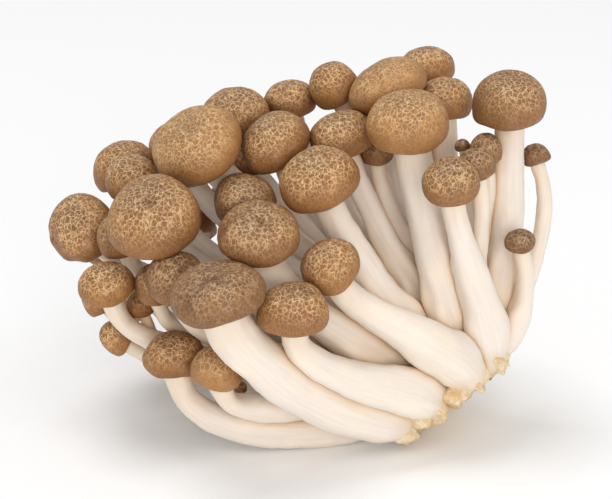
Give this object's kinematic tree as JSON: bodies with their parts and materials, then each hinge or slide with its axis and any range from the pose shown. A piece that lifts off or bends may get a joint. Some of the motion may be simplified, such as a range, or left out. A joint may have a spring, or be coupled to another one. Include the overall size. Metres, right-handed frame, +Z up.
{
  "type": "beech mushroom cluster",
  "caption": "Bunch of brown beech mushrooms fanning out from one cut base and lying on its side, with dome caps and long pale stems.",
  "frame": {"origin": "bottom centre of the bounding box, on the surface that the bunch lies on", "axes": "+X towards the cut base, -Y towards the side the bunch is usually seen from, +Z up"},
  "size_m": [0.1264, 0.1064, 0.0932],
  "materials": {
    "mushroom_flesh": "smooth pale flesh of the stems",
    "cap_skin": "satin tan skin with a fine pale net",
    "gills": "matte thin ribs",
    "cut_base": "rough torn and cut flesh"
  },
  "bodies": {
    "root": {"cut_base": "cut_base", "mushroom_crown_1": "mushroom_flesh", "mushroom_crown_10": "mushroom_flesh", "mushroom_crown_11": "mushroom_flesh", "mushroom_crown_2": "mushroom_flesh", "mushroom_crown_3": "mushroom_flesh", "mushroom_crown_4": "mushroom_flesh", "mushroom_crown_5": "mushroom_flesh", "mushroom_crown_6": "mushroom_flesh", "mushroom_crown_7": "mushroom_flesh", "mushroom_crown_8": "mushroom_flesh", "mushroom_crown_9": "mushroom_flesh", "mushroom_front_1": "mushroom_flesh", "mushroom_front_10": "mushroom_flesh", "mushroom_front_11": "mushroom_flesh", "mushroom_front_2": "mushroom_flesh", "mushroom_front_3": "mushroom_flesh", "mushroom_front_4": "mushroom_flesh", "mushroom_front_5": "mushroom_flesh", "mushroom_front_6": "mushroom_flesh", "mushroom_front_7": "mushroom_flesh", "mushroom_front_8": "mushroom_flesh", "mushroom_front_9": "mushroom_flesh", "mushroom_inner_1": "mushroom_flesh", "mushroom_inner_2": "mushroom_flesh", "mushroom_left_1": "mushroom_flesh", "mushroom_left_10": "mushroom_flesh", "mushroom_left_2": "mushroom_flesh", "mushroom_left_3": "mushroom_flesh", "mushroom_left_4": "mushroom_flesh", "mushroom_left_5": "mushroom_flesh", "mushroom_left_6": "mushroom_flesh", "mushroom_left_7": "mushroom_flesh", "mushroom_left_8": "mushroom_flesh", "mushroom_left_9": "mushroom_flesh", "mushroom_rear_1": "mushroom_flesh", "mushroom_rear_10": "mushroom_flesh", "mushroom_rear_11": "mushroom_flesh", "mushroom_rear_12": "mushroom_flesh", "mushroom_rear_13": "mushroom_flesh", "mushroom_rear_14": "mushroom_flesh", "mushroom_rear_15": "mushroom_flesh", "mushroom_rear_2": "mushroom_flesh", "mushroom_rear_3": "mushroom_flesh", "mushroom_rear_4": "mushroom_flesh", "mushroom_rear_5": "mushroom_flesh", "mushroom_rear_6": "mushroom_flesh", "mushroom_rear_7": "mushroom_flesh", "mushroom_rear_8": "mushroom_flesh", "mushroom_rear_9": "mushroom_flesh", "mushroom_right_1": "mushroom_flesh", "mushroom_right_2": "mushroom_flesh", "mushroom_right_3": "mushroom_flesh", "mushroom_right_4": "mushroom_flesh", "mushroom_right_5": "mushroom_flesh", "mushroom_right_6": "mushroom_flesh", "mushroom_right_7": "mushroom_flesh"}
  },
  "joints": []
}
